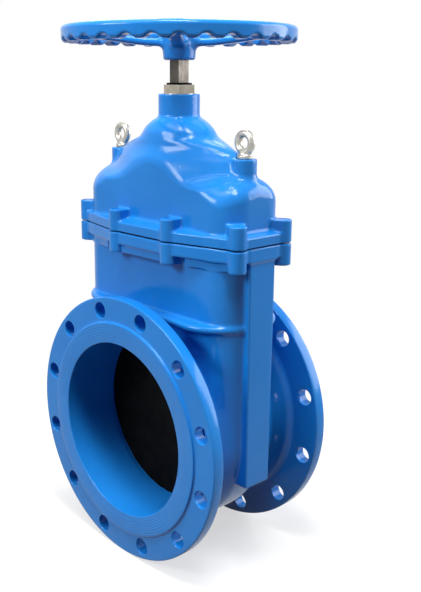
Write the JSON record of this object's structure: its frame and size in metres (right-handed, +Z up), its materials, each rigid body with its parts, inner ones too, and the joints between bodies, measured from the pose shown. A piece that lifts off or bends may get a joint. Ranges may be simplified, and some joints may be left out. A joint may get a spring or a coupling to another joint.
{
  "type": "sluice valve",
  "caption": "Flanged sluice valve with a rubber-faced wedge, a bolted bell-shaped bonnet with lifting eyes, a non-rising stem and a handwheel that raises the wedge.",
  "frame": {"origin": "centre of the inlet flange's raised face, on the pipe axis", "axes": "+Y along the pipe, from the inlet face to the outlet face; +Z up along the stem; +X across the valve"},
  "size_m": [0.455, 0.383, 0.8914],
  "materials": {
    "blue_epoxy": "glossy fused blue coating",
    "black_rubber": "moulded, satin",
    "brass": "turned, dulled",
    "stainless": "machined",
    "zinc": "bright zinc plate",
    "iron": "as cast",
    "nylon": "turned plastic"
  },
  "bodies": {
    "valve": {"body": "blue_epoxy", "bonnet": "blue_epoxy", "bonnet_gasket": "black_rubber", "lower_thrust_washer": "nylon", "upper_thrust_washer": "nylon", "gland_nut": "brass", "stem_wiper": "black_rubber", "eyebolt_left": "zinc", "eyebolt_right": "zinc"},
    "spindle": {"stem": "stainless", "handwheel": "blue_epoxy", "wheel_washer": "zinc", "wheel_bolt": "zinc"},
    "wedge": {"wedge_core": "iron", "wedge_rubber": "black_rubber", "stem_nut": "brass", "guide_shoe_left": "nylon", "guide_shoe_right": "nylon"}
  },
  "joints": [
    {"name": "handwheel_turn", "type": "hinge", "parent": "valve", "child": "spindle", "pos_m": [0, 0.135, 0.6], "axis": [0, 0, 1], "range_deg": [0, 13940]},
    {"name": "wedge_lift", "type": "slide", "parent": "valve", "child": "wedge", "axis": [0, 0, 1], "range_m": [0, 0.31]}
  ],
  "couplings": [
    {"joint": "wedge_lift", "follows": "handwheel_turn", "m_per_rad": 0.0012732}
  ]
}
